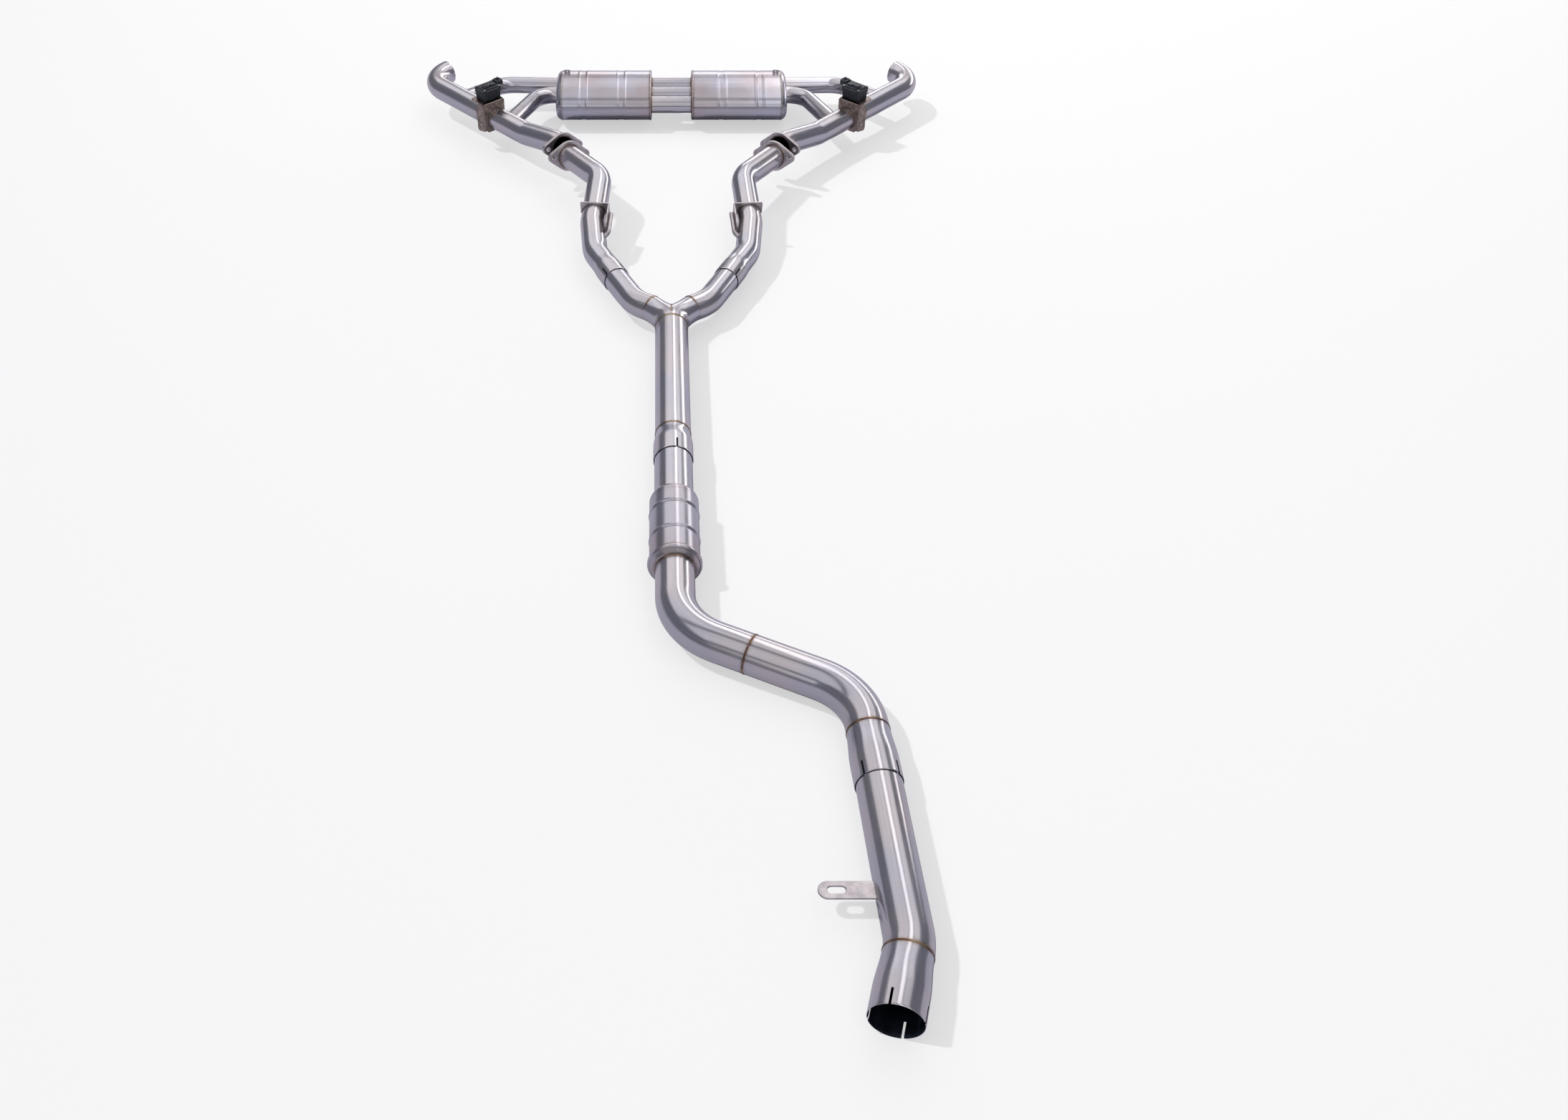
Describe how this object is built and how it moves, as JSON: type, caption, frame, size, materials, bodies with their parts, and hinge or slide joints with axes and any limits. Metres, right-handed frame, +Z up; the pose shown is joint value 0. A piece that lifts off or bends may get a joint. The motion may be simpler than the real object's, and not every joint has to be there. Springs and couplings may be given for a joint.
{
  "type": "racing exhaust system",
  "caption": "valved cat-back exhaust: slotted inlet, S-bend, resonator, Y-pipe, flanged mid and rear pipes, butterfly valves, twin crossover muffler and tail pipes",
  "frame": {"origin": "middle of the base of the whole system, on the floor that it lies on", "axes": "+Y from the inlet to the tail pipes, +X to the right seen from the inlet, +Z up"},
  "size_m": [1.31, 2.876, 0.1666],
  "materials": {
    "brushed_stainless": "brushed stainless tube",
    "cast_steel": "machined and heat-tinted stainless",
    "sheet_steel": "folded stainless sheet",
    "shaft_steel": "ground steel",
    "black_plastic": "moulded glass-filled plastic",
    "pale_plastic": "moulded plastic",
    "glass_packing": "glass wool"
  },
  "bodies": {
    "pipework": {"inlet_collar": "brushed_stainless", "front_pipe": "brushed_stainless", "front_hanger_tab": "sheet_steel", "joint_collar": "brushed_stainless", "s_pipe_lower": "brushed_stainless", "s_pipe_upper": "brushed_stainless", "resonator_front_cap": "brushed_stainless", "resonator_shell": "brushed_stainless", "resonator_rear_cap": "brushed_stainless", "resonator_outlet": "brushed_stainless", "resonator_core": "brushed_stainless", "resonator_packing": "glass_packing", "y_collar": "brushed_stainless", "y_trunk": "brushed_stainless", "y_collector": "brushed_stainless", "y_leg_right": "brushed_stainless", "y_leg_left": "brushed_stainless", "mid_pipe_lower_right": "brushed_stainless", "mid_pipe_lower_left": "brushed_stainless", "mid_pipe_upper_right": "brushed_stainless", "mid_pipe_upper_left": "brushed_stainless", "mid_hanger_bracket_right": "sheet_steel", "mid_hanger_bracket_left": "sheet_steel", "mid_hanger_rod_right": "sheet_steel", "mid_hanger_rod_left": "sheet_steel", "mid_flange_right": "cast_steel", "mid_flange_left": "cast_steel", "rear_flange_right": "cast_steel", "rear_flange_left": "cast_steel", "rear_pipe_right": "brushed_stainless", "rear_pipe_left": "brushed_stainless", "tail_pipe_right": "brushed_stainless", "tail_pipe_left": "brushed_stainless", "branch_pipe_right": "brushed_stainless", "branch_pipe_left": "brushed_stainless", "return_pipe_right": "brushed_stainless", "return_pipe_left": "brushed_stainless", "valve_body_right": "cast_steel", "valve_body_left": "cast_steel", "actuator_bracket_right": "sheet_steel", "actuator_bracket_left": "sheet_steel", "actuator_housing_right": "black_plastic", "actuator_housing_left": "black_plastic", "actuator_cover_right": "black_plastic", "actuator_cover_left": "black_plastic", "muffler_shell_right": "brushed_stainless", "muffler_shell_left": "brushed_stainless", "muffler_inner_plate_right": "brushed_stainless", "muffler_inner_plate_left": "brushed_stainless", "muffler_outer_plate_right": "brushed_stainless", "muffler_outer_plate_left": "brushed_stainless", "crossover_tube_front": "brushed_stainless", "crossover_tube_middle": "brushed_stainless", "crossover_tube_rear": "brushed_stainless"},
    "valve_left": {"valve_shaft_left": "shaft_steel", "valve_flap_left": "shaft_steel", "actuator_gear_left": "pale_plastic"},
    "valve_right": {"valve_shaft_right": "shaft_steel", "valve_flap_right": "shaft_steel", "actuator_gear_right": "pale_plastic"}
  },
  "joints": [
    {"name": "valve_left_turn", "type": "hinge", "parent": "pipework", "child": "valve_left", "pos_m": [-0.46845, 1.16639, 0.08], "axis": [0, 0, 1], "range_deg": [0, 85]},
    {"name": "valve_right_turn", "type": "hinge", "parent": "pipework", "child": "valve_right", "pos_m": [0.46845, 1.16639, 0.08], "axis": [0, 0, -1], "range_deg": [0, 85]}
  ]
}
